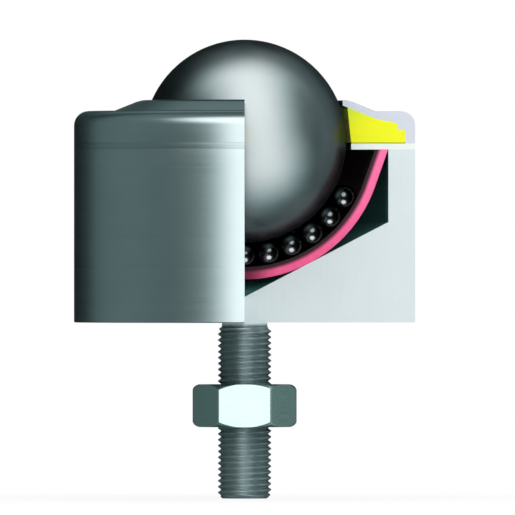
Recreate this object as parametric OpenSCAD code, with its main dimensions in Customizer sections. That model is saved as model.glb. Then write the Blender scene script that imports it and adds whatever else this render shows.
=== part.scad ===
// Ball transfer unit, shown as a sectioned unit: one quarter of the housing, cover, retaining
// plate, seal and race cup is cut away down to the underside, so that the load ball and the
// bearing balls that carry it can be seen. Both balls, the stud and the nut are whole.
// Millimetres. The origin is the centre of the housing's underside, on the axis of the stud,
// with +Z up through the load ball. The missing quarter is the one at +X and -Y.

/* [Load ball] */
// Diameter of the load ball
ball_d = 38.1; // [37:0.1:39]
// Running clearance between the load ball and the bearing balls
ball_clearance = 0.05; // [0.02:0.01:0.1]

/* [Bearing balls] */
// Diameter of the bearing balls
bearing_d = 4.5; // [4.2:0.1:4.8]
// Clearance between neighbouring bearing balls
bearing_gap = 0.02; // [0.01:0.01:0.1]
// Clearance between the bearing balls and the race cup
race_clearance = 0.01; // [0:0.01:0.05]

/* [Race cup] */
// Wall thickness of the race cup
cup_wall = 2.3; // [1.8:0.1:2.8]
// Angle, from straight down, at which the bowl runs out into its straight flare
flare_angle = 70.5; // [69:0.5:73]
// Clearance between the rim of the race cup and the bore and plate around it
rim_clearance = 0.05; // [0.02:0.01:0.15]

/* [Housing] */
// Outer diameter of the housing, the retaining plate and the cover
housing_d = 64; // [63:0.5:72]
// Height of the housing, from its underside to the retaining plate
housing_h = 32.45; // [31:0.05:34]
// Rise of the conical floor that carries the race cup, in degrees
floor_angle = 27.5; // [25:0.5:30]
// Height of the load ball's centre above the top of the housing
ball_rise = 1.56; // [1.2:0.02:2]

/* [Retaining plate] */
// Thickness of the retaining plate
plate_t = 1.15; // [0.8:0.05:1.5]
// Gap between the retaining plate and the widest part of the load ball
plate_gap = 0.95; // [0.5:0.05:1.2]

/* [Cover] */
// Height of the cover's flat shoulder above the retaining plate
shoulder_h = 6.05; // [5.5:0.05:6.5]
// Height of the collar above the shoulder
collar_h = 2.05; // [1.8:0.05:2.4]
// Radius at which the slope of the collar meets the shoulder
collar_foot_r = 24.6; // [24:0.1:26]
// Radius of the rounding along the shoulder's outer edge
shoulder_round = 2.3; // [1:0.1:3]
// Thickness of the cover's outer wall
cover_wall = 1.85; // [1.5:0.05:2.2]
// Thickness of the cover's roof, measured upright
roof_t = 1.45; // [1.2:0.05:1.7]
// How far the lip reaches in past the widest part of the load ball, which keeps the ball in
lip_hold = 0.65; // [0.4:0.05:0.8]

/* [Seal] */
// Gap between the seal's upper inner edge and the radius of the load ball
seal_gap = 0.25; // [0.1:0.05:0.4]

/* [Stud and nut] */
// Outer diameter of the stud's fine thread
stud_d = 10; // [8:0.5:12]
// Length of the stud below the housing
stud_l = 33; // [30:0.5:40]
// Width of the nut across its flats
nut_af = 17; // [16:0.5:19]
// Height of the nut
nut_h = 8; // [6:0.5:10]
// Distance from the housing's underside to the nut, where the unit's mounting plate goes
nut_gap = 11.6; // [8:0.1:12]
// Radial clearance between the nut and the stud
nut_clearance = 0.05; // [0.02:0.01:0.1]

/* [Hidden] */
$fn = 96;

// The section leaves three quarters of every turned piece, from +X round through +Y and -X to -Y
kept_angle = 270;

// The load ball rides on the bearing balls, they ride in the cup, and the cup on the conical
// floor, whose thickness on the axis follows from where the ball is to stand
ball_r = ball_d / 2;
bearing_r = bearing_d / 2;
race_r = ball_r + ball_clearance + bearing_r;
cup_in_r = race_r + bearing_r + race_clearance;
cup_out_r = cup_in_r + cup_wall;
ball_z = housing_h + ball_rise;
floor_t = ball_z - cup_out_r / cos(floor_angle);

// The cup's straight flare runs on from the end of the bowl to the rim under the plate
rim_z = housing_h - rim_clearance;
function flare_r(r) = r * sin(flare_angle)
    + (rim_z - ball_z + r * cos(flare_angle)) / tan(flare_angle);
bore_r = flare_r(cup_out_r) + rim_clearance;
bore_floor_z = floor_t + bore_r * tan(floor_angle);

// Heights of the stack on top of the housing
housing_r = housing_d / 2;
cover_z = housing_h + plate_t;
shoulder_z = cover_z + shoulder_h;
crest_z = shoulder_z + collar_h;
plate_bore_r = ball_r + plate_gap;
lip_r = ball_r - lip_hold;
lip_flat_w = 0.6;
crest_drop = 0.28;
crest_run = 1.2;

// The pocket inside the cover, which the seal fills
pocket_r = housing_r - cover_wall;
pocket_step_h = 2.5;
pocket_step_w = 1.35;
pocket_step_lean = 0.2;
pocket_roof_drop = 0.83;

// Thread relief below the housing, run out into its underside so that a plate can lie flat
stud_r = stud_d / 2;
relief_depth = 0.73;
relief_l = 0.8;
relief_rise = 0.3;
relief_margin = 0.3;
stud_chamfer = 0.8;

// The nut's chamfers cut its corners alone, since they start just outside its flats
nut_face_share = 1.01;
nut_chamfer_angle = 40;
nut_countersink = 0.4;

// Bearing balls sit in rows, each one ball further up the bowl than the last. A row starts with
// a ball centred on the section's front face, and ends with one that stands just behind its side
// face. Between them it holds as many balls as fit evenly.
row_pitch = 2 * asin((bearing_d + bearing_gap) / 2 / race_r);
function row_r(i) = race_r * sin(i * row_pitch);
function row_z(i) = ball_z - race_r * cos(i * row_pitch);
function row_angle(i) = kept_angle - asin(bearing_r / row_r(i));
function row_steps(i) = floor(row_angle(i) / (2 * asin((bearing_d + bearing_gap) / 2 / row_r(i))));

module sectioned() {
    rotate_extrude(angle = kept_angle) children();
}

// Turned from one bar: body, bore and conical floor, with the stud below in one piece with it
module housing() {
    color("lightslategray") {
        sectioned() polygon([
            [0, 0],
            [stud_r - relief_depth, 0],
            [stud_r - relief_depth, relief_rise],
            [stud_r + relief_margin, relief_rise],
            [stud_r + relief_margin, 0],
            [housing_r, 0],
            [housing_r, housing_h],
            [bore_r, housing_h],
            [bore_r, bore_floor_z],
            [0, floor_t],
        ]);
        rotate_extrude() polygon([
            [0, -stud_l],
            [stud_r - stud_chamfer, -stud_l],
            [stud_r, -stud_l + stud_chamfer],
            [stud_r, -relief_l],
            [stud_r - relief_depth, -relief_l],
            [stud_r - relief_depth, 0],
            [0, 0],
        ]);
    }
}

// Flat ring between the housing and the cover, flush with both, that holds the cup down
module retaining_plate() {
    color("gainsboro") sectioned()
        translate([plate_bore_r, housing_h]) square([housing_r - plate_bore_r, plate_t]);
}

// The space under the cover's roof, from the lip out to the outer wall
module pocket_profile(inner_top, inner_foot) {
    polygon([
        [inner_foot, cover_z],
        inner_top,
        [collar_foot_r, shoulder_z - roof_t],
        [pocket_r - pocket_step_w - pocket_step_lean, shoulder_z - roof_t - pocket_roof_drop],
        [pocket_r - pocket_step_w, cover_z + pocket_step_h],
        [pocket_r, cover_z + pocket_step_h],
        [pocket_r, cover_z],
    ]);
}

// Height of the pocket's roof under the slope of the collar
function roof_z(r) = shoulder_z - roof_t
    + (collar_foot_r - r) * (crest_z - crest_drop - shoulder_z)
    / (collar_foot_r - lip_r - lip_flat_w - crest_run);

// Turned cover with a raised collar, whose lip closes in over the load ball
module lid() {
    color("silver") sectioned() difference() {
        polygon([
            [lip_r, roof_z(lip_r)],
            [lip_r, crest_z],
            [lip_r + lip_flat_w, crest_z],
            [lip_r + lip_flat_w + crest_run, crest_z - crest_drop],
            [collar_foot_r, shoulder_z],
            [housing_r, shoulder_z],
            [housing_r, cover_z],
            [lip_r, cover_z],
        ]);
        pocket_profile([lip_r, roof_z(lip_r)], lip_r);
        translate([housing_r - shoulder_round, shoulder_z - shoulder_round]) difference() {
            square(2 * shoulder_round);
            circle(r = shoulder_round);
        }
    }
}

// Felt ring that fills the pocket and wipes round the load ball
module felt_seal() {
    seal_top_r = ball_r + seal_gap;
    color("yellow") sectioned()
        pocket_profile([seal_top_r, roof_z(seal_top_r)], plate_bore_r);
}

// Pressed and hardened cup: a bowl round the centre of the load ball, running out into a flare
module race_cup() {
    color("hotpink") sectioned() {
        intersection() {
            difference() {
                translate([0, ball_z]) circle(r = cup_out_r);
                translate([0, ball_z]) circle(r = cup_in_r);
            }
            polygon([
                [0, ball_z],
                [2 * cup_out_r * sin(flare_angle), ball_z - 2 * cup_out_r * cos(flare_angle)],
                [2 * cup_out_r * sin(flare_angle), -cup_out_r],
                [0, -cup_out_r],
            ]);
        }
        polygon([
            [cup_in_r * sin(flare_angle), ball_z - cup_in_r * cos(flare_angle)],
            [cup_out_r * sin(flare_angle), ball_z - cup_out_r * cos(flare_angle)],
            [flare_r(cup_out_r), rim_z],
            [flare_r(cup_in_r), rim_z],
        ]);
    }
}

module load_ball() {
    color("dimgray") translate([0, 0, ball_z]) sphere(r = ball_r);
}

// Hexagon nut with both ends chamfered, corners pointing to the sides and a flat to the front
module hex_nut() {
    corner_r = nut_af / 2 / cos(30);
    face_r = nut_af / 2 * nut_face_share;
    chamfer_h = (corner_r + 1 - face_r) * tan(nut_chamfer_angle);
    bore = stud_r + nut_clearance;
    color("lightgray") translate([0, 0, -nut_gap - nut_h]) difference() {
        intersection() {
            cylinder(r = corner_r, h = nut_h, $fn = 6);
            rotate_extrude() polygon([
                [0, 0],
                [face_r, 0],
                [corner_r + 1, chamfer_h],
                [corner_r + 1, nut_h - chamfer_h],
                [face_r, nut_h],
                [0, nut_h],
            ]);
        }
        translate([0, 0, -1]) cylinder(r = bore, h = nut_h + 2);
        for (end = [0, 1])
            translate([0, 0, end * nut_h]) mirror([0, 0, end])
                translate([0, 0, -nut_countersink])
                    cylinder(r1 = bore + 2 * nut_countersink, r2 = bore, h = 2 * nut_countersink);
    }
}

// One bearing ball: row 0 is the lowest point of the bowl, and each step goes round the row
module bearing_ball(row, step) {
    turn = row == 0 ? 0 : step * row_angle(row) / row_steps(row);
    color("dimgray") rotate([0, 0, turn]) translate([row_r(row), 0, row_z(row)])
        sphere(r = bearing_r, $fn = 32);
}

housing();
lid();
retaining_plate();
felt_seal();
race_cup();
load_ball();
hex_nut();
bearing_ball(0, 0);  // bearing_ball_pole
for (i = [1:5]) {
    bearing_ball(i, 0);
    bearing_ball(i, row_steps(i));
    for (step = [1:row_steps(i) - 1]) bearing_ball(i, step);
}
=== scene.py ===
"""Looks for a ball transfer unit, shown as a sectioned unit.

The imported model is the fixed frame. Every piece here is a surface worked out with numpy in the
same frame: lengths below are in millimetres and become metres when a mesh is made. Angles go
round the unit's axis from +X through +Y, and the section leaves 0 to 270 degrees.
"""
import math

import bmesh
import bpy
import numpy as np
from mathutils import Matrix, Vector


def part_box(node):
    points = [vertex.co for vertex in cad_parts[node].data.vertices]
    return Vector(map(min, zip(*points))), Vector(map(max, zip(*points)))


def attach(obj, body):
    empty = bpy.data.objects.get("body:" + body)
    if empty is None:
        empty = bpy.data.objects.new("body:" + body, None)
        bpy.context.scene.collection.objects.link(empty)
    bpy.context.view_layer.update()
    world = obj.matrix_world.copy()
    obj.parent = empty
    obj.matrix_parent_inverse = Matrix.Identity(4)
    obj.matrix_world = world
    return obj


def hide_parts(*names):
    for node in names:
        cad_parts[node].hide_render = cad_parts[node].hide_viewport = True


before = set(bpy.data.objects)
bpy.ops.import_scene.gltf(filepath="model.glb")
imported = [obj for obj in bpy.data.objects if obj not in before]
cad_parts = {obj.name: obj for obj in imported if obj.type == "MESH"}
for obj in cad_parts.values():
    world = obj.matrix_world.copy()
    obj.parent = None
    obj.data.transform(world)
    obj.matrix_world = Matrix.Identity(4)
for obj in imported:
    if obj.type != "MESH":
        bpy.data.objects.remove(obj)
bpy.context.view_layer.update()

MM = 0.001

# ---------------------------------------------------------------- sizes, in millimetres


def box_mm(node):
    """Lowest and highest corner of a CAD node, in millimetres."""
    low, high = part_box(node)
    return np.array(low) / MM, np.array(high) / MM


housing_low, housing_high = box_mm("housing")
lid_low, lid_high = box_mm("lid")
plate_low, plate_high = box_mm("retaining_plate")
cup_low, cup_high = box_mm("race_cup")
ball_low, ball_high = box_mm("load_ball")
nut_low, nut_high = box_mm("hex_nut")
pole_low, pole_high = box_mm("bearing_ball_pole")

# Load ball and bearing balls
BEARING_GAP = 0.02      # between neighbouring bearing balls
BEARING_ROWS = 5        # rows up the bowl, besides the lowest ball
BALL_R = (ball_high[2] - ball_low[2]) / 2
BALL_Z = (ball_high[2] + ball_low[2]) / 2
BEARING_R = (pole_high[2] - pole_low[2]) / 2
RACE_R = BALL_Z - (pole_high[2] + pole_low[2]) / 2

# Race cup, and the conical floor on which it stands
CUP_WALL = 2.3
FLARE_ANGLE = math.radians(70.5)    # from straight down, where the bowl runs out into the flare
FLOOR_ANGLE = math.radians(27.5)    # rise of the conical floor
CUP_OUT_R = BALL_Z - cup_low[2]
CUP_IN_R = CUP_OUT_R - CUP_WALL
CUP_RIM_Z = cup_high[2]
FLOOR_Z = BALL_Z - CUP_OUT_R / math.cos(FLOOR_ANGLE)

# Housing and retaining ring
EDGE_BREAK = 0.03       # along the joints between housing, ring and cover
FOOT_BREAK = 0.25       # along the housing's lower edge
BORE_BREAK = 0.1        # in the bore of the retaining ring
PLATE_GAP = 0.95        # between the retaining ring and the widest part of the load ball
RIM_WIDTH = 1.0         # outer part of the ring's underside, which keeps its steel, out of the painted shade
HOUSING_R = housing_high[0]
HOUSING_TOP = housing_high[2]
PLATE_BORE_R = BALL_R + PLATE_GAP

# Cover: a rounded shoulder, a sloped collar, its crest, and the lip that keeps the ball in
SHOULDER_H = 6.05       # above the cover's foot
SHOULDER_ROUND = 2.7
COLLAR_FOOT_R = 24.6
LIP_HOLD = 0.65         # how far the lip reaches in past the widest part of the load ball
CREST_WIDTH = 0.6       # flat top of the lip
CREST_RUN = 1.2         # from the crest out to the top of the slope
CREST_DROP = 0.28       # from the crest down to the top of the slope
COVER_FOOT, CREST_Z = lid_low[2], lid_high[2]
SHOULDER_Z = COVER_FOOT + SHOULDER_H
LIP_R = BALL_R - LIP_HOLD
CREST_R = LIP_R + CREST_WIDTH
COLLAR_TOP_R, COLLAR_TOP_Z = CREST_R + CREST_RUN, CREST_Z - CREST_DROP
COLLAR_SLOPE = (COLLAR_TOP_Z - SHOULDER_Z) / (COLLAR_FOOT_R - COLLAR_TOP_R)

# Stepped pocket inside the cover, and the felt in it
COVER_WALL = 1.85
ROOF_T = 1.45           # the roof's thickness, measured upright
ROOF_DROP = 0.83        # from the roof's lowest part down to the top of the step
STEP_H = 2.5            # above the cover's foot
STEP_W = 1.35
STEP_LEAN = 0.2         # how far the step's wall leans in
FELT_GAP = 0.25         # between the felt's upper inner edge and the load ball
FELT_LIFT = 0.13        # between the felt and the ring below it
POCKET_R = HOUSING_R - COVER_WALL
ROOF_Z = SHOULDER_Z - ROOF_T
STEP_FOOT = (POCKET_R - STEP_W, COVER_FOOT + STEP_H)
STEP_TOP = (STEP_FOOT[0] - STEP_LEAN, ROOF_Z - ROOF_DROP)

# Stud and its thread
STUD_R = 5.0
STUD_CHAMFER = 0.8
THREAD_ROOT_R = 4.42
THREAD_PITCH = 1.1
THREAD_FADE = 0.6       # way in which the thread dies into the neck
FLANK_SLOPE = 2.5       # heights of a tooth that a flank climbs in one pitch
ROOT_FLAT = 0.04        # half the flat between two teeth, in pitches
NECK_R = 4.27
NECK_FADE = 0.2         # way in which the neck widens to the thread's root
NECK_END = -0.8
STUD_END = housing_low[2]

# Nut
NUT_FACE_SHARE = 1.01   # radius of the end faces, as a share of that of the flats
NUT_CHAMFER = math.radians(40)
NUT_ARC = (14, 76)      # part of the quarter ellipse along which a corner is rounded, in degrees
NUT_CORNER_CUT = 0.06   # taken off the six upright edges
NUT_BORE_R = 5.05
NUT_SINK = 0.4          # countersinks of the bore, across and along
NUT_GROOVE = 0.45       # depth of its thread
NUT_GROOVE_FADE = 0.5   # way in which its thread starts and ends
NUT_ROOT_FLAT = 0.06    # half the flat between two grooves, in pitches
NUT_FLATS = nut_high[1]
NUT_FACE_R = NUT_FLATS * NUT_FACE_SHARE

# Rows of points on the load ball, on the bearing balls in front, and on those behind them
BALL_POINTS, FRONT_POINTS, BEHIND_POINTS = 96, 24, 12

# Slack with which walls are told apart by their place
NEAR = 0.01

# Angles round the axis: the section's two flat faces, and those at which points are worked out
SECTION_ANGLES = (0, 1.5 * math.pi)
KEPT = np.radians(np.arange(0, 271, 2.0))
MISSING = np.radians(np.arange(270, 361, 2.0))
WHOLE = np.radians(np.arange(0, 360, 2.0))


# ---------------------------------------------------------------- surfaces


def grid_faces(rows, columns, round_rows=False, round_columns=False):
    """Corners of the cells of a grid of points, numbered row by row. Cell (i, j) joins points
    (i, j), (i+1, j), (i+1, j+1) and (i, j+1), and a round direction runs back to its start."""
    i, j = np.meshgrid(np.arange(rows - (not round_rows)),
                       np.arange(columns - (not round_columns)), indexing="ij")
    k, m = (i + 1) % rows, (j + 1) % columns
    cells = np.stack([i * columns + j, k * columns + j, k * columns + m, i * columns + m], -1)
    return cells.reshape(-1, 4)


def patch(points, finish, round_rows=False, round_columns=False):
    """A grid of points (rows, columns, xyz) as one patch of a mesh in one finish."""
    rows, columns = points.shape[:2]
    return points.reshape(-1, 3), grid_faces(rows, columns, round_rows, round_columns), finish


def rounded(corners, steps=6):
    """A closed outline (r, z) with its corners rounded, all at once. A corner (r, z, radius) is
    replaced by the arc whose centre lies on the corner's bisector, radius / cos(turn / 2) away,
    and which starts and ends radius * tan(turn / 2) along the two sides."""
    corners = np.array([tuple(c) + (0,) * (3 - len(c)) for c in corners], float)
    p, radius = corners[:, :2], corners[:, 2:]
    way_in = p - np.roll(p, 1, 0)
    way_out = np.roll(way_in, -1, 0)
    way_in = way_in / np.linalg.norm(way_in, axis=1, keepdims=True)
    way_out = way_out / np.linalg.norm(way_out, axis=1, keepdims=True)
    turn = np.arctan2(way_in[:, 0] * way_out[:, 1] - way_in[:, 1] * way_out[:, 0],
                      (way_in * way_out).sum(1))[:, None]
    bisector = way_out - way_in
    bisector = bisector / np.maximum(np.linalg.norm(bisector, axis=1, keepdims=True), 1e-9)
    centre = p + bisector * radius / np.cos(turn / 2)
    spoke = p - way_in * radius * np.tan(np.abs(turn) / 2) - centre
    a = turn * np.linspace(0, 1, steps)
    arc_r = centre[:, :1] + spoke[:, :1] * np.cos(a) - spoke[:, 1:] * np.sin(a)
    arc_z = centre[:, 1:] + spoke[:, :1] * np.sin(a) + spoke[:, 1:] * np.cos(a)
    outline = np.stack([arc_r, arc_z], -1).reshape(-1, 2)
    moved = np.abs(outline - np.roll(outline, 1, 0)).max(1) > 1e-7
    return outline[moved]


def divided(outline, longest, is_open=False):
    """The same outline with every side cut into equal parts no longer than that. An open one
    ends at its last point."""
    side = np.roll(outline, -1, 0) - outline
    parts = np.maximum(1, np.ceil(np.linalg.norm(side, axis=1) / longest)).astype(int)
    start = np.repeat(outline, parts, 0)
    along = np.arange(parts.sum()) - np.repeat(np.cumsum(parts) - parts, parts)
    points = start + np.repeat(side / parts[:, None], parts, 0) * along[:, None]
    return points[:parts[:-1].sum() + 1] if is_open else points


def about_axis(r, a, z):
    """Points r out from the axis, at angle a and height z: x = r cos a, y = r sin a, z = z."""
    return np.stack(np.broadcast_arrays(r * np.cos(a), r * np.sin(a), z), -1)


def turned(outline, angles):
    """The outline (r, z) carried round the axis, one row of points at each angle."""
    return about_axis(outline[None, :, 0], angles[:, None], outline[None, :, 1])


def section(outline, finish):
    """The two flat faces of the section: each is what the outline (r, z) fills in the half plane
    at its angle."""
    return [(turned(outline, np.array([angle]))[0], np.arange(len(outline))[None, :], finish)
            for angle in SECTION_ANGLES]


def sphere(centres, radius, rows, finish):
    """Spheres of one radius: with t from the top and a round the axis, a point is the centre plus
    radius * (sin t cos a, sin t sin a, cos t). All centres are worked out at once."""
    t = np.linspace(0, math.pi, rows + 1)[:, None]
    a = np.linspace(0, 2 * math.pi, 2 * rows, endpoint=False)[None, :]
    ball = about_axis(radius * np.sin(t), a, radius * np.cos(t))
    points = np.asarray(centres, float).reshape(-1, 1, 3) + ball.reshape(1, -1, 3)
    cells = grid_faces(rows + 1, 2 * rows, round_columns=True)
    shift = np.arange(len(points))[:, None, None] * ball[..., 0].size
    return points.reshape(-1, 3), (cells[None] + shift).reshape(-1, 4), finish


def put_in_scene(name, data):
    """A new object for a mesh, a lamp or a camera, left at the origin."""
    made = bpy.data.objects.new(name, data)
    bpy.context.scene.collection.objects.link(made)
    return made


def make_piece(name, patches, finishes, body, nodes, sharp=35):
    """One closed mesh from patches that share their edges. Points that fall together are welded,
    which closes seams and poles, faces are turned outwards, and edges sharper than the given
    angle stay crisp. It rides on a body and stands for CAD nodes."""
    mesh = bpy.data.meshes.new(name)
    points = np.concatenate([p for p, _, _ in patches]) * MM
    start = np.cumsum([0] + [len(p) for p, _, _ in patches])
    faces = sum([(f + s).tolist() for (_, f, _), s in zip(patches, start)], [])
    mesh.from_pydata(points.tolist(), [], faces)
    for finish in finishes:
        mesh.materials.append(finish)
    mesh.polygons.foreach_set(
        "material_index", np.concatenate([np.full(len(f), finish) for _, f, finish in patches]))
    work = bmesh.new()
    work.from_mesh(mesh)
    bmesh.ops.remove_doubles(work, verts=work.verts, dist=1e-3 * MM)
    bmesh.ops.recalc_face_normals(work, faces=work.faces)
    work.to_mesh(mesh)
    work.free()
    mesh.polygons.foreach_set("use_smooth", np.ones(len(mesh.polygons), bool))
    mesh.set_sharp_from_angle(angle=math.radians(sharp))
    piece = put_in_scene(name, mesh)
    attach(piece, body)
    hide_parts(*nodes)
    return piece


# ---------------------------------------------------------------- building finishes


def add(tree, kind, *inputs, out=0, **settings):
    """One shader node, as the output of that number or name. Inputs are given in the order of its
    sockets: a number, a colour, another node's output, or None to leave a socket alone."""
    made = tree.nodes.new("ShaderNode" + kind)
    for key, value in settings.items():
        setattr(made, key, value)
    for socket, value in zip(made.inputs, inputs):
        if isinstance(value, bpy.types.NodeSocket):
            tree.links.new(value, socket)
        elif value is not None:
            socket.default_value = value
    return made.outputs[out]


def times(tree, *values):
    """The product of the values."""
    product = values[0]
    for value in values[1:]:
        product = add(tree, "Math", product, value, operation="MULTIPLY")
    return product


def plus(tree, *values):
    """The sum of the values."""
    total = values[0]
    for value in values[1:]:
        total = add(tree, "Math", total, value, operation="ADD")
    return total


def minus(tree, value, taken):
    """The value less what is taken."""
    return add(tree, "Math", value, taken, operation="SUBTRACT")


def larger(tree, first, second):
    """The larger of two values."""
    return add(tree, "Math", first, second, operation="MAXIMUM")


def without_sign(tree, value):
    """How far the value is from 0."""
    return add(tree, "Math", value, operation="ABSOLUTE")


def between(tree, value, low, high, from_low=0.3, from_high=0.7, kind="LINEAR"):
    """A straight run: low where the value is from_low, high where it is from_high, and held
    beyond both."""
    return add(tree, "MapRange", value, from_low, from_high, low, high, interpolation_type=kind)


def eased(tree, value, low, high, from_low, from_high):
    """The same kind of run, with soft ends."""
    return between(tree, value, low, high, from_low, from_high, "SMOOTHSTEP")


def colour(red, green, blue):
    """A linear colour with full cover."""
    return (red, green, blue, 1.0)


def mixed(tree, share, first, second):
    """The first colour where the share is 0, and the second where it is 1. Each is three numbers
    or a node's output."""
    first, second = (colour(*c) if isinstance(c, tuple) else c for c in (first, second))
    return add(tree, "MixRGB", share, first, second)


def place(tree):
    """Object coordinates, in metres."""
    return add(tree, "TexCoord", out="Object")


def height(tree, where):
    """Height of a place, in metres."""
    return add(tree, "SeparateXYZ", where, out="Z")


def axis_distance(tree, where):
    """Distance from the unit's axis: the square root of x squared plus y squared."""
    flat = add(tree, "VectorMath", where, (1, 1, 0), operation="MULTIPLY")
    return add(tree, "VectorMath", flat, out="Value", operation="LENGTH")


def blotches(tree, where, size, detail=3.0, roughness=0.5):
    """Soft patches of about that size, in millimetres, as a value around 0.5."""
    return add(tree, "TexNoise", where, None, 1 / (size * MM), detail, roughness)


def lathe_lines(tree, where, spacing):
    """Fine turning lines: noise read at (distance from the axis, height), the same all the way
    round, so that walls carry rings up their height and end faces carry rings outwards."""
    rings = add(tree, "CombineXYZ", axis_distance(tree, where), 0.0, height(tree, where))
    return blotches(tree, rings, spacing, roughness=0.6)


def new_finish(name, **values):
    """A material with one Principled shader, whose constant values are set on its own sockets."""
    finish = bpy.data.materials.new(name)
    finish.use_nodes = True
    shader = finish.node_tree.nodes["Principled BSDF"]
    for key, value in values.items():
        shader.inputs[key.replace("_", " ")].default_value = value
    return finish, finish.node_tree, shader


def feed(tree, shader, **values):
    """Node outputs linked to the shader's sockets."""
    for key, value in values.items():
        tree.links.new(value, shader.inputs[key.replace("_", " ")])


def bumped(tree, shader, relief, depth, strength=0.5):
    """Small relief under the shader, of that depth in millimetres."""
    bump = tree.nodes.new("ShaderNodeBump")
    bump.inputs["Strength"].default_value = strength
    bump.inputs["Distance"].default_value = depth * MM
    tree.links.new(relief, bump.inputs["Height"])
    feed(tree, shader, Normal=bump.outputs[0])


# ---------------------------------------------------------------- finishes


def turned_steel(name, dark, light, smooth, rough, spacing=0.18, edge=0.06):
    """Steel from the lathe: fine rings in tone, gloss and relief over soft patches of tone. The
    edge tint keeps steel dark where it turns away."""
    finish, tree, shader = new_finish(name, Metallic=1.0, Specular_Tint=colour(edge, edge, edge))
    where = place(tree)
    lines = lathe_lines(tree, where, spacing)
    tone = between(tree, plus(tree, lines, blotches(tree, where, size=9)), 0, 1, 0.7, 1.3)
    feed(tree, shader, Base_Color=mixed(tree, tone, dark, light),
         Roughness=between(tree, lines, smooth, rough))
    bumped(tree, shader, lines, depth=0.002)
    return finish


def ground_steel(name, dark, light, smooth, rough, edge=0.03):
    """Ground and polished ball steel: soft patches of tone and gloss, with faint hairlines. Its
    colour is painted darker where it turns away from the view, as a painted shade at its rim."""
    finish, tree, shader = new_finish(name, Metallic=1.0, Specular_Tint=colour(edge, edge, edge))
    painted_rim_shade = (0.01, 0.012, 0.013)
    where = place(tree)
    patches = blotches(tree, where, size=5)
    tone = mixed(tree, between(tree, patches, 0, 1), dark, light)
    # Painted shade: the colour goes near black where the surface turns away from the view
    turned_away = add(tree, "LayerWeight", 0.5, out="Facing")
    rim = eased(tree, turned_away, 0, 0.55, 0.22, 0.5)
    feed(tree, shader, Base_Color=mixed(tree, rim, tone, painted_rim_shade),
         Roughness=between(tree, patches, smooth, rough))
    no_shift, tilt, stretch = (0, 0, 0), (0.5, 0.3, 0.8), (0.06, 1, 1)
    stretched = add(tree, "Mapping", where, no_shift, tilt, stretch)
    bumped(tree, shader, blotches(tree, stretched, size=0.12, detail=2.0), depth=0.0008)
    return finish


def painted_section(name, tone, shade):
    """Section paint on a milled face: an even coat with a faint grain of straight cutter lines."""
    finish, tree, shader = new_finish(name, Roughness=0.55, Specular_IOR_Level=0.25)
    where = place(tree)
    upright = add(tree, "VectorMath", where, (1, 1, 0.03), operation="MULTIPLY")
    lines = blotches(tree, upright, size=0.35)
    blend = between(tree, plus(tree, lines, blotches(tree, where, size=6)), 0, 1, 0.6, 1.3)
    feed(tree, shader, Base_Color=mixed(tree, blend, shade, tone))
    bumped(tree, shader, lines, depth=0.006)
    return finish


def pale_topped_neck():
    """Neck of the stud: pale and matt at its top under the housing, raggedly turning to bare steel
    further down.
    """
    finish, tree, shader = new_finish("pale_topped_neck", Roughness=0.5)
    # The pale top tone, and the steel it turns into further down
    paint, steel = (0.62, 0.72, 0.73), (0.10, 0.13, 0.14)
    where = place(tree)
    unevenness = times(tree, blotches(tree, where, size=1.5), 0.3 * MM)
    ragged = plus(tree, height(tree, where), unevenness)
    bare = between(tree, ragged, 0, 1, 0.1 * MM, (NECK_END + 0.1) * MM)
    feed(tree, shader, Base_Color=mixed(tree, bare, paint, steel), Metallic=bare)
    bumped(tree, shader, lathe_lines(tree, where, spacing=0.2), depth=0.003)
    return finish


def cup_paint():
    """Pink section paint on the cup, with painted light and shade: lighter towards the top, a
    painted shade deeper along the outer skin and at the bottom of the bowl, and the inner skin
    painted near black as painted shade for the gap. A point lies r * sin t + (centre - z) * cos t
    out in the wall, where t is its angle from straight down, held at the flare's."""
    finish, tree, shader = new_finish("cup_section_paint", Roughness=0.5, Specular_IOR_Level=0.25)
    # A shaded and a lit pink for painted light by height, and a pale grain
    shaded_low_pink, lit_high_pink, pale_grain = (0.88, 0.085, 0.27), (1.0, 0.15, 0.39), (1.0, 0.30, 0.46)
    # Pink of the painted shade along the edges, and near black of the painted shade on the inner
    # skin
    painted_shade_pink, painted_gap_shade = (0.16, 0.012, 0.045), (0.02, 0.003, 0.007)
    where = place(tree)
    z = height(tree, where)
    grain = blotches(tree, where, size=1.2)
    # Painted light: lighter towards the top, darker towards the bottom
    paint = mixed(tree, eased(tree, z, 0, 1, 9 * MM, 31 * MM), shaded_low_pink, lit_high_pink)
    paint = mixed(tree, between(tree, grain, 0, 0.2), paint, pale_grain)
    r = axis_distance(tree, where)
    below = minus(tree, BALL_Z * MM, z)
    t = add(tree, "Math", r, below, operation="ARCTAN2")
    t = add(tree, "Math", t, FLARE_ANGLE, operation="MINIMUM")
    out = plus(tree, times(tree, r, add(tree, "Math", t, operation="SINE")),
               times(tree, below, add(tree, "Math", t, operation="COSINE")))
    # Painted shade: deeper pink along the outer skin, and near the axis at the bottom of the bowl
    outer = eased(tree, out, 0, 0.35, (CUP_OUT_R - 0.3) * MM, (CUP_OUT_R + 0.1) * MM)
    bottom = eased(tree, r, 0.93, 0, 0.6 * MM, 6.2 * MM)
    paint = mixed(tree, larger(tree, outer, bottom), paint, painted_shade_pink)
    # Painted shade: the inner skin goes near black, standing for the dark of the gap between cup
    # and balls
    bare = eased(tree, out, 1, 0, (CUP_IN_R + 0.45) * MM, (CUP_IN_R + 1.25) * MM)
    feed(tree, shader, Base_Color=mixed(tree, bare, paint, painted_gap_shade))
    bumped(tree, shader, grain, depth=0.01)
    return finish


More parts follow.
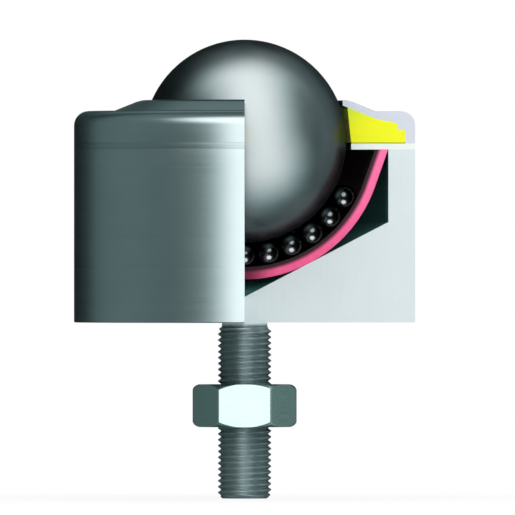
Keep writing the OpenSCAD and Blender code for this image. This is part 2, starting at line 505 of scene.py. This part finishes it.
def felt():
    """Pressed wool felt: matted fibres in tone and relief. It is greener and darker near the top
    of the wiping edge, where the height less a share of the distance from the axis is largest."""
    finish, tree, shader = new_finish("yellow_felt", Roughness=0.95, Specular_IOR_Level=0.1,
                                      Sheen_Weight=0.15, Sheen_Roughness=0.5)
    shade, wool = (0.74, 0.84, 0.012), (0.95, 0.97, 0.03)
    warm, olive_top = (1.0, 0.92, 0.02), (0.52, 0.78, 0.05)
    lean_share = 0.45
    where = place(tree)
    fibres = blotches(tree, where, size=0.16, detail=4.0, roughness=0.7)
    wads = blotches(tree, where, size=1.1)
    mat = mixed(tree, between(tree, fibres, 0, 1), shade, wool)
    mat = mixed(tree, between(tree, wads, 0, 0.35), mat, warm)
    lean = minus(tree, height(tree, where), times(tree, axis_distance(tree, where), lean_share))
    mat = mixed(tree, eased(tree, lean, 0, 0.6, 26.5 * MM, 31.5 * MM), mat, olive_top)
    feed(tree, shader, Base_Color=mat)
    bumped(tree, shader, fibres, depth=0.06, strength=0.8)
    return finish


def shade_darkened(name, dark, light, rough):
    """Dark steel inside the unit, a painted shade for its hollows, with faint turning rings."""
    finish, tree, shader = new_finish(name, Roughness=rough, Specular_IOR_Level=0.3)
    lines = lathe_lines(tree, place(tree), spacing=0.4)
    feed(tree, shader, Base_Color=mixed(tree, between(tree, lines, 0, 1), dark, light))
    bumped(tree, shader, lines, depth=0.01)
    return finish


bar_tones = {"dark": (0.36, 0.425, 0.43), "light": (0.40, 0.465, 0.47), "smooth": 0.27,
             "rough": 0.33}
body_steel = turned_steel("turned_body_steel", **bar_tones)
cover_steel = turned_steel("turned_cover_steel", **bar_tones)
plate_steel = turned_steel("rolled_plate_steel", dark=(0.315, 0.37, 0.375),
                           light=(0.355, 0.41, 0.415), smooth=0.28, rough=0.34)
thread_steel = turned_steel("rolled_thread_steel", dark=(0.36, 0.43, 0.435),
                            light=(0.43, 0.50, 0.505), smooth=0.40, rough=0.5)
nut_steel = turned_steel("zinc_nut_steel", dark=(0.35, 0.47, 0.44), light=(0.41, 0.54, 0.51),
                         smooth=0.22, rough=0.32, spacing=0.3, edge=0.3)
ball_steel = ground_steel("ground_ball_steel", dark=(0.31, 0.345, 0.35),
                          light=(0.335, 0.37, 0.375), smooth=0.28, rough=0.33, edge=0.2)
bearing_steel = ground_steel("polished_bearing_steel", dark=(0.075, 0.085, 0.09),
                             light=(0.095, 0.105, 0.11), smooth=0.19, rough=0.24)
section_paint = painted_section("grey_section_paint", (0.67, 0.755, 0.765), (0.635, 0.72, 0.73))
plate_paint = painted_section("pale_section_paint", (0.80, 0.87, 0.80), (0.74, 0.82, 0.76))
cover_paint = painted_section("lavender_section_paint", (0.63, 0.665, 0.74), (0.59, 0.63, 0.69))
neck_finish = pale_topped_neck()
pink_paint = cup_paint()
yellow_felt = felt()
# Painted shade: hollows inside the unit get near-black steel, dark teal in the bore, for the shade
# there
dark_bore = shade_darkened("shade_darkened_bore", (0.045, 0.16, 0.15), (0.075, 0.23, 0.21), rough=0.5)
dark_race = shade_darkened("shade_darkened_race", (0.022, 0.012, 0.02), (0.04, 0.025, 0.035), rough=0.4)

# ---------------------------------------------------------------- housing and stud


def flare_r(r):
    """Radius at which the cup's straight flare, r out from the bowl's centre, meets the rim."""
    return (r * math.sin(FLARE_ANGLE)
            + (CUP_RIM_Z - BALL_Z + r * math.cos(FLARE_ANGLE)) / math.tan(FLARE_ANGLE))


BORE_R = flare_r(CUP_OUT_R) + HOUSING_TOP - CUP_RIM_Z
BORE_FLOOR_Z = FLOOR_Z + BORE_R * math.tan(FLOOR_ANGLE)


def screw_wave(z, a):
    """How far a point lies from the middle of a screw's turn, in pitches: it runs from 1/2 to 0
    and back with z / pitch - a / 360."""
    phase = (z / THREAD_PITCH - a / (2 * math.pi)) % 1
    return np.abs(phase - 0.5)


def threaded_stud():
    """The stud's wall from the housing down: at height z and angle a the thread stands at
    root + depth * tooth, where the tooth climbs straight to a narrow flat crest in the middle of
    each turn. It dies into the neck under the housing and is held inside the chamfer at the
    end."""
    z = np.concatenate([[0, NECK_END], np.arange(NECK_END, STUD_END, -THREAD_PITCH / 10)[1:],
                        [STUD_END]])[None, :]
    a = WHOLE[:, None]
    tooth = np.clip((0.5 - screw_wave(z, a) - ROOT_FLAT) * FLANK_SLOPE, 0, 1)
    depth = (STUD_R - THREAD_ROOT_R) * np.clip((NECK_END - z) / THREAD_FADE, 0, 1)
    base = NECK_R + (THREAD_ROOT_R - NECK_R) * np.clip((NECK_END - z) / NECK_FADE, 0, 1)
    r = np.minimum(base + depth * tooth, STUD_R - STUD_CHAMFER + z - STUD_END)
    return about_axis(r, a, z)


def housing():
    """Body, bore and conical floor turned from one bar with the stud. The two flat faces of the
    section are painted, and the stud's top shows in the missing quarter."""
    steel, paint, bore, thread, neck = range(5)
    outside = rounded([
        (0, 0), (NECK_R, 0), (HOUSING_R, 0, FOOT_BREAK), (HOUSING_R, HOUSING_TOP, EDGE_BREAK),
        (BORE_R, HOUSING_TOP), (0, HOUSING_TOP)])
    outside = divided(outside[1:-1], longest=3.0, is_open=True)
    inside = divided(np.array([[BORE_R, HOUSING_TOP], [BORE_R, BORE_FLOOR_Z], [0, FLOOR_Z]]),
                     longest=2.0, is_open=True)
    wall = np.concatenate([[[0, 0]], outside, inside[1:]])
    stud_top = turned(np.array([[0, 0], [NECK_R, 0]]), MISSING)
    stud = threaded_stud()
    rim = stud[:, -1:]
    stud_end = np.concatenate([rim, rim * np.array([0, 0, 1])], 1)
    return make_piece("housing_and_stud", [
        patch(turned(outside, KEPT), steel),
        # The bore and conical floor take a painted shade: dark steel for the shade of the cavity
        patch(turned(inside, KEPT), bore),
        patch(stud[:, :2], neck, round_rows=True),
        patch(stud[:, 1:], thread, round_rows=True),
        patch(stud_end, thread, round_rows=True),
        patch(stud_top, paint),
        *section(wall, paint),
    ], [body_steel, section_paint, dark_bore, thread_steel, neck_finish], "body",
        ["housing"])


# ---------------------------------------------------------------- cover, rings and cup


def ring(name, outline, finishes, nodes, inside=lambda r, z: r < 0, longest=2.0):
    """A closed outline (r, z) turned through the kept three quarters, with its two section faces.
    Finishes are outside, section and inside, and inside tells by place which walls are hidden:
    none of them unless it is given. The inside finish is given as a painted shade for those walls."""
    wall = divided(outline, longest)
    points, faces, _ = patch(turned(wall, KEPT), 0, round_columns=True)
    middle = (wall + np.roll(wall, -1, 0)) / 2
    hidden = np.tile(inside(middle[:, 0], middle[:, 1]), len(KEPT) - 1)
    return make_piece(name, [(points, faces[~hidden], 0), (points, faces[hidden], 2),
                             *section(wall, 1)], finishes, "body", nodes)


def roof_z(r):
    """Height of the pocket's roof, which runs along under the slope of the collar."""
    return ROOF_Z + (COLLAR_FOOT_R - r) * COLLAR_SLOPE


def cover():
    """Turned cover: a rounded shoulder, a sloped collar and a lip that closes in over the ball."""
    outline = rounded([
        (HOUSING_R, COVER_FOOT, EDGE_BREAK), (HOUSING_R, SHOULDER_Z, SHOULDER_ROUND),
        (COLLAR_FOOT_R, SHOULDER_Z, 0.5), (COLLAR_TOP_R, COLLAR_TOP_Z, 0.4),
        (CREST_R, CREST_Z, 0.3), (LIP_R, CREST_Z, 0.15), (LIP_R, roof_z(LIP_R), 0.1),
        (COLLAR_FOOT_R, ROOF_Z), STEP_TOP, STEP_FOOT, (POCKET_R, STEP_FOOT[1]),
        (POCKET_R, COVER_FOOT)], steps=8)

    def faces_felt(r, z):
        """Whether a wall lies along the pocket or the cover's underside."""
        roof = roof_z(np.minimum(r, COLLAR_FOOT_R))
        return (r > LIP_R + NEAR) & (r < POCKET_R + NEAR) & (z < roof + NEAR)

    return ring("cover", outline, [cover_steel, cover_paint, dark_bore], ["lid"],
                faces_felt)


def retaining_ring():
    """Flat ring between housing and cover, with its edges just broken."""
    low, high = plate_low[2], plate_high[2]
    outline = rounded([(HOUSING_R, low, EDGE_BREAK), (HOUSING_R, high, EDGE_BREAK),
                       (PLATE_BORE_R, high, BORE_BREAK), (PLATE_BORE_R, low, BORE_BREAK)],
                      steps=4)

    def underside(r, z):
        """Whether a wall lies in the underside, and not along its outer edge."""
        return (z < low + NEAR) & (r < HOUSING_R - RIM_WIDTH)

    return ring("retaining_ring", outline, [plate_steel, plate_paint, dark_bore],
                ["retaining_plate"], underside)


def felt_ring():
    """Felt pressed into the cover's pocket. Its wiping face leans in towards the ball, and it
    stands a hair above the ring below it."""
    foot = COVER_FOOT + FELT_LIFT
    top_r = BALL_R + FELT_GAP
    outline = rounded([
        (PLATE_BORE_R, foot, 0.15), (POCKET_R, foot), (POCKET_R, STEP_FOOT[1]), STEP_FOOT,
        STEP_TOP, (COLLAR_FOOT_R, ROOF_Z), (top_r, roof_z(top_r), 0.15)])
    return ring("felt_ring", outline, [yellow_felt, yellow_felt, yellow_felt],
                ["felt_seal"], longest=1.0)


def race_cup():
    """Pressed cup: two arcs about the ball's centre, run out into a straight flare to the rim."""
    t = np.linspace(0, FLARE_ANGLE, 40)
    bowl = np.stack([np.sin(t), -np.cos(t)], -1)
    skins = [np.concatenate([[0, BALL_Z] + r * bowl, [[flare_r(r), CUP_RIM_Z]]])
             for r in (CUP_OUT_R, CUP_IN_R)]
    outline = np.concatenate([skins[0], skins[1][::-1]])
    # The cup's turned skins are painted near black, a painted shade for the dark inside the unit
    return make_piece("race_cup_pressed", [patch(turned(outline, KEPT), 0), *section(outline, 1)],
                      [dark_race, pink_paint], "body", ["race_cup"])


# ---------------------------------------------------------------- nut and balls


def hexagon_nut():
    """Hexagon nut. At angle a a flat stands at flats / cos(a to the middle of the flat). Its
    rounded corners start just outside the flats and meet the flat (flat - face) * tan(chamfer) in
    from each end. From one to the other they follow the middle part of a quarter of an ellipse,
    r growing as sin t and the way in from the end as 1 - cos t. The bore has countersinks and the
    grooves of an internal thread, cut outwards from the bore."""
    to_corner = np.array([5, 10, 15, 20, 24, 27, 28.5, 29.6])
    side = np.radians(np.concatenate([[-30], -to_corner[::-1], [0], to_corner]))
    flat_middles = np.radians(np.arange(30, 390, 60))[:, None]
    a = (flat_middles + side[None, :]).reshape(-1)[:, None]
    flat = NUT_FLATS / np.cos(np.tile(side, 6))[:, None]
    flat = np.minimum(flat, NUT_FLATS / math.cos(math.radians(30)) - NUT_CORNER_CUT)
    face = np.minimum(flat, NUT_FACE_R)
    drop = (flat - face) * math.tan(NUT_CHAMFER)
    t = np.radians(np.linspace(*NUT_ARC, 9))[None, :]
    corner_r = face + (flat - face) * (np.sin(t) - np.sin(t[0, 0])) / np.ptp(np.sin(t))
    inwards = drop * (np.cos(t[0, 0]) - np.cos(t)) / np.ptp(np.cos(t))
    low, high = nut_low[2] + 0 * a, nut_high[2] + 0 * a
    mouth = NUT_BORE_R + NUT_SINK + 0 * a
    shell = about_axis(np.concatenate([mouth, corner_r, corner_r[:, ::-1], mouth], 1), a,
                       np.concatenate([low, low + inwards, (high - inwards)[:, ::-1], high], 1))
    top, foot = nut_high[2] - NUT_SINK, nut_low[2] + NUT_SINK
    z = np.linspace(top, foot, 91)[None, :]
    groove = NUT_GROOVE * np.clip((screw_wave(z, a) - NUT_ROOT_FLAT) * FLANK_SLOPE, 0, 1)
    groove = groove * np.clip(np.minimum(top - z, z - foot) / NUT_GROOVE_FADE, 0, 1)
    bore = about_axis(np.concatenate([mouth, NUT_BORE_R + groove, mouth], 1), a,
                      np.concatenate([high, z + 0 * a, low], 1))
    return make_piece("hexagon_nut", [
        patch(shell, 0, round_rows=True), patch(bore, 1, round_rows=True),
    ], [nut_steel, thread_steel], "nut", ["hex_nut"], sharp=11)


def row_places():
    """Centres of the bearing balls: row i stands i ball pitches up the bowl from its lowest point.
    Its first ball is centred on the section's front face and its last stands just behind the side
    face, asin(ball radius / row radius) short of it. Between them it shares the way evenly."""
    half_pitch = BEARING_R + BEARING_GAP / 2
    up_bowl = 2 * math.asin(half_pitch / RACE_R)
    for row in range(1, BEARING_ROWS + 1):
        r = RACE_R * math.sin(row * up_bowl)
        z = BALL_Z - RACE_R * math.cos(row * up_bowl)
        way_round = SECTION_ANGLES[1] - math.asin(BEARING_R / r)
        steps = int(way_round / (2 * math.asin(half_pitch / r)))
        yield row, about_axis(r, np.linspace(0, way_round, steps + 1), z)


def bearing(name, centres, rows, node):
    """Polished bearing balls that stand for one CAD node."""
    return make_piece(name, [sphere(centres, BEARING_R, rows, 0)], [bearing_steel],
                      "body", [node])


body_pieces = [housing(), cover(), retaining_ring(), felt_ring(), race_cup()]
load_ball = make_piece("load_ball_ground", [sphere([0, 0, BALL_Z], BALL_R, BALL_POINTS, 0)],
                       [ball_steel], "ball", ["load_ball"])
nut = hexagon_nut()
front_balls = [bearing("bearing_lowest", [0, 0, BALL_Z - RACE_R], FRONT_POINTS,
                       "bearing_ball_pole")]
side_balls, ring_balls = [], []
for row, centres in row_places():
    front_balls.append(bearing(f"bearing_front_{row}", centres[0], FRONT_POINTS,
                               f"bearing_ball_front_{row}"))
    side_balls.append(bearing(f"bearing_side_{row}", centres[-1], FRONT_POINTS,
                              f"bearing_ball_side_{row}"))
    ring_balls.append(bearing(f"bearing_row_{row}", centres[1:-1], BEHIND_POINTS,
                              f"bearing_ball_ring_{row}"))

# ---------------------------------------------------------------- floor, in metres

FLOOR_LEVEL = STUD_END * MM


def stage_piece(name, points, finish, round_rows=False, round_columns=False):
    """A grid of points in metres as a mesh of its own, which rides on no body."""
    rows, columns = points.shape[:2]
    mesh = bpy.data.meshes.new(name)
    mesh.from_pydata(points.reshape(-1, 3).tolist(), [],
                     grid_faces(rows, columns, round_rows, round_columns).tolist())
    mesh.materials.append(finish)
    made = put_in_scene(name, mesh)
    return made


def shown(name, surface):
    """A material for the stage, with what surface(tree) makes."""
    finish = bpy.data.materials.new(name)
    finish.use_nodes = True
    tree = finish.node_tree
    tree.nodes.clear()
    end = tree.nodes.new("ShaderNodeOutputMaterial")
    tree.links.new(surface(tree), end.inputs["Surface"])
    return finish


def seen_as_background(tree):
    """1 for rays from the camera, mirror rays and rays through glass, and 0 for soft light."""
    kinds = ("Camera", "Glossy", "Transmission")
    camera_ray, mirror_ray, glass_ray = (
        add(tree, "LightPath", out=f"Is {kind} Ray") for kind in kinds)
    return larger(tree, larger(tree, camera_ray, mirror_ray), glass_ray)


def floor_surface(tree):
    """Matt and pale for soft light. Where it is seen it is mostly white, so that the object's
    shadow stays faint, and further out it turns into the white background. From below it can be
    looked through."""
    far_out = eased(tree, axis_distance(tree, place(tree)), 0.85, 1, 0.03, 0.12)
    matt = add(tree, "BsdfDiffuse", colour(0.86, 0.86, 0.86))
    white = add(tree, "Emission", colour(1, 1, 1), 1.0)
    top = add(tree, "MixShader", times(tree, far_out, seen_as_background(tree)), matt, white)
    behind = add(tree, "NewGeometry", out="Backfacing")
    return add(tree, "MixShader", behind, top, add(tree, "BsdfTransparent"))


def make_floor():
    """Plain pale floor: a flat disk of circles round the axis, level with the stud's end."""
    r = np.array([0, 0.05, 0.2, 1, 12.0])[:, None]
    a = np.linspace(0, 2 * math.pi, 64, endpoint=False)[None, :]
    floor = stage_piece("floor", about_axis(r, a, FLOOR_LEVEL),
                        shown("pale_floor", floor_surface), round_columns=True)
    floor.visible_glossy = False
    floor.visible_shadow = False


# ---------------------------------------------------------------- light, in metres and degrees

# What the cards and lamps stand round, and how far away they are
STUDIO_CENTRE, STUDIO_REACH, SOFT_REACH = (0, 0, 0.02), 0.5, 1.1
BALL_CENTRE, BALL_CARDS_REACH = (0, 0, BALL_Z * MM), 0.3
FRONT_BALLS_CENTRE, SIDE_BALLS_CENTRE = (0.011, -0.002, 0.017), (0.002, -0.011, 0.017)
GLINT_REACH = 0.12

# How wide a lamp is, in degrees, and each lamp by its name, its angles round_by and over, and its
# strength
LAMP_WIDTH = 40
SOFT_LAMPS = (("soft_key", 25, 30, 3.8), ("soft_fill", -45, 30, 1.4), ("soft_back", 170, 40, 2.3))
GLINT_LAMPS = (("low", -52, 8.5), ("high", 25, 4.5))


def only_lights(light, name, receivers):
    """The light falls on these pieces alone."""
    group = bpy.data.collections.new(name)
    for receiver in receivers:
        group.objects.link(receiver)
    light.light_linking.receiver_collection = group


def card_sphere(name, centre, reach, receivers, tone, see_through=False):
    """Cards all round the centre that light only the gloss of their receivers, with the strength
    that tone makes from each card's direction: e, its angle over the top from the front; side,
    its angle to the right; round_by, its angle round the object from the front; and its height z
    on a sphere of radius 1. Dim cards are cool. Pieces that are not receivers look through a
    see-through sphere."""
    def surface(tree):
        """The cards' light, by the direction in which a point of the sphere lies."""
        where = add(tree, "VectorMath", place(tree), centre, operation="SUBTRACT")
        way = add(tree, "VectorMath", where, operation="NORMALIZE")
        x, y, z = (add(tree, "SeparateXYZ", way, out=axis) for axis in "XYZ")
        front = times(tree, y, -1.0)
        degree = math.degrees(1)
        e = times(tree, add(tree, "Math", z, front, operation="ARCTAN2"), degree)
        side = times(tree, add(tree, "Math", x, operation="ARCSINE"), degree)
        round_by = times(tree, add(tree, "Math", x, front, operation="ARCTAN2"), degree)
        strength = tone(tree, e, side, round_by, z)
        warmth = between(tree, strength, 0, 1, 0.2, 2)
        cool, white = (0.70, 0.98, 1.0), (1.0, 1.0, 1.0)
        light = add(tree, "Emission", mixed(tree, warmth, cool, white), strength)
        if see_through:
            light = add(tree, "AddShader", light, add(tree, "BsdfTransparent"))
        return light

    a = np.radians(np.arange(0, 360, 5))[:, None]
    up = np.radians(np.linspace(-90, 90, 61))[None, :]
    points = about_axis(reach * np.cos(up), a, reach * np.sin(up)) + np.array(centre)
    cards = stage_piece(name, points, shown(name, surface), round_rows=True)
    for way_seen in ("camera", "diffuse", "transmission", "volume_scatter", "shadow"):
        setattr(cards, "visible_" + way_seen, False)
    only_lights(cards, name + "_fall_on", receivers)


def body_tone(tree, e, side, round_by, z):
    """A bright panel in front that widens over the top, grey cards at the sides, the right one
    paler, darker ones further back, and two pale cards at the back, high and low."""
    panel_strength = 2.5
    half_width = eased(tree, e, 13.8, 36.5, 10, 36)
    past_edge = minus(tree, without_sign(tree, side), half_width)
    panel = times(tree, eased(tree, past_edge, 1, 0, -12, 12), eased(tree, e, 1, 0, 50, 68),
                  eased(tree, e, 0, 1, -58, -38), panel_strength)
    away = without_sign(tree, round_by)
    to_the_back = (117, 128)
    cards = plus(tree, eased(tree, away, 0.2, 0.08, *to_the_back),
                 times(tree, eased(tree, away, 0, 0.09, 45, 80),
                       eased(tree, away, 1, 0, *to_the_back)))
    right = times(tree, eased(tree, round_by, 0, 0.52, 66, 92),
                  eased(tree, round_by, 1, 0, 100, 124))
    high = times(tree, eased(tree, z, 0, 0.78, 0.12, 0.3), eased(tree, z, 1, 0, 0.8, 0.95))
    low = times(tree, eased(tree, z, 0, 0.8, -0.08, -0.16), eased(tree, z, 1, 0, -0.5, -0.7))
    back = times(tree, plus(tree, high, low), eased(tree, away, 0, 1, 140, 160))
    return plus(tree, panel, cards, right, back)


def ball_tone(tree, e, side, round_by, z):
    """A broad soft panel, to the right of the middle in front and on the middle over the top,
    that fades out far down and behind, over dim cards that are paler to the right. The cards at
    the right, a little behind, are dimmer below."""
    middle = plus(tree, between(tree, e, 20, 2, 0, 75), between(tree, e, 5, 0, -75, 0))
    past_middle = without_sign(tree, minus(tree, side, middle))
    panel = times(tree, eased(tree, past_middle, 1, 0, 4, 60), eased(tree, e, 1, 0, 74, 133),
                  eased(tree, e, 0, 1, -102, -25), eased(tree, e, 2.05, 2.3, 0, 45))
    cards = between(tree, side, 0.05, 0.16, -30, 60)
    right = times(tree, eased(tree, round_by, 0, 0.5, 90, 112),
                  eased(tree, round_by, 1, 0, 145, 170), between(tree, z, 0.4, 1, -0.5, 0))
    back = times(tree, eased(tree, without_sign(tree, round_by), 0, 0.2, 130, 160),
                 between(tree, z, 0, 1, 0.2, 0.5))
    return plus(tree, panel, cards, right, back)


def make_lamp(name, round_by, over, reach, centre, strength, receivers=None):
    """A soft round lamp of that radiance, facing the centre from round_by degrees round the
    object from the front and over degrees up from the floor, and LAMP_WIDTH degrees wide as seen
    from the centre. Its power is its radiance times its area times pi. With receivers it is seen
    in their gloss alone, and without it gives soft light to matt surfaces."""
    lamp = bpy.data.lights.new(name, "AREA")
    lamp.shape = "DISK"
    lamp.size = 2 * reach * math.tan(math.radians(LAMP_WIDTH / 2))
    area = math.pi * lamp.size ** 2 / 4
    lamp.energy = strength * area * math.pi
    made = put_in_scene(name, lamp)
    turn, rise = math.radians(round_by), math.radians(over)
    way = np.array([math.sin(turn) * math.cos(rise), -math.cos(turn) * math.cos(rise),
                    math.sin(rise)])
    made.location = np.array(centre) + reach * way
    made.rotation_euler = (math.pi / 2 - rise, 0, turn)
    made.visible_camera = False
    if receivers is None:
        made.visible_glossy = False
    else:
        made.visible_diffuse = False
        only_lights(made, name + "_falls_on", receivers)


def make_background():
    """White where it is seen, and half as strong where it only lights."""
    world = bpy.data.worlds.new("white_background")
    bpy.context.scene.world = world
    world.use_nodes = True
    tree = world.node_tree
    background = tree.nodes["Background"]
    background.inputs["Color"].default_value = colour(1, 1, 1)
    feed(tree, background, Strength=between(tree, seen_as_background(tree), 0.5, 1, 0, 1))
    world.cycles.sampling_method = "NONE"


make_floor()
make_background()
card_sphere("studio_cards", STUDIO_CENTRE, STUDIO_REACH, body_pieces + [nut], body_tone)
card_sphere("ball_cards", BALL_CENTRE, BALL_CARDS_REACH, [load_ball], ball_tone, see_through=True)

for name, round_by, over, strength in SOFT_LAMPS:
    make_lamp(name, round_by, over, SOFT_REACH, STUDIO_CENTRE, strength)

for level, over, strength in GLINT_LAMPS:
    make_lamp("glint_front_" + level, 0, over, GLINT_REACH, FRONT_BALLS_CENTRE, strength,
              front_balls + ring_balls)
    make_lamp("glint_side_" + level, 90, over, GLINT_REACH, SIDE_BALLS_CENTRE, strength,
              side_balls)

# ---------------------------------------------------------------- camera

# Width of the view at the axis and the point aimed at, in metres, and the long lens in millimetres
VIEW_WIDTH = 0.0966
AIM_X, AIM_Z = 0.00242, 0.01219
LENS, SENSOR = 1600, 36

camera_data = bpy.data.cameras.new("camera")
camera_data.lens = LENS
camera_data.sensor_width = SENSOR
camera_data.clip_start, camera_data.clip_end = 0.1, 60
camera = put_in_scene("camera", camera_data)
camera.location = (AIM_X, -VIEW_WIDTH * LENS / SENSOR, AIM_Z)
camera.rotation_euler = (math.pi / 2, 0, 0)
bpy.context.scene.camera = camera
bpy.context.scene.view_settings.view_transform = "Standard"
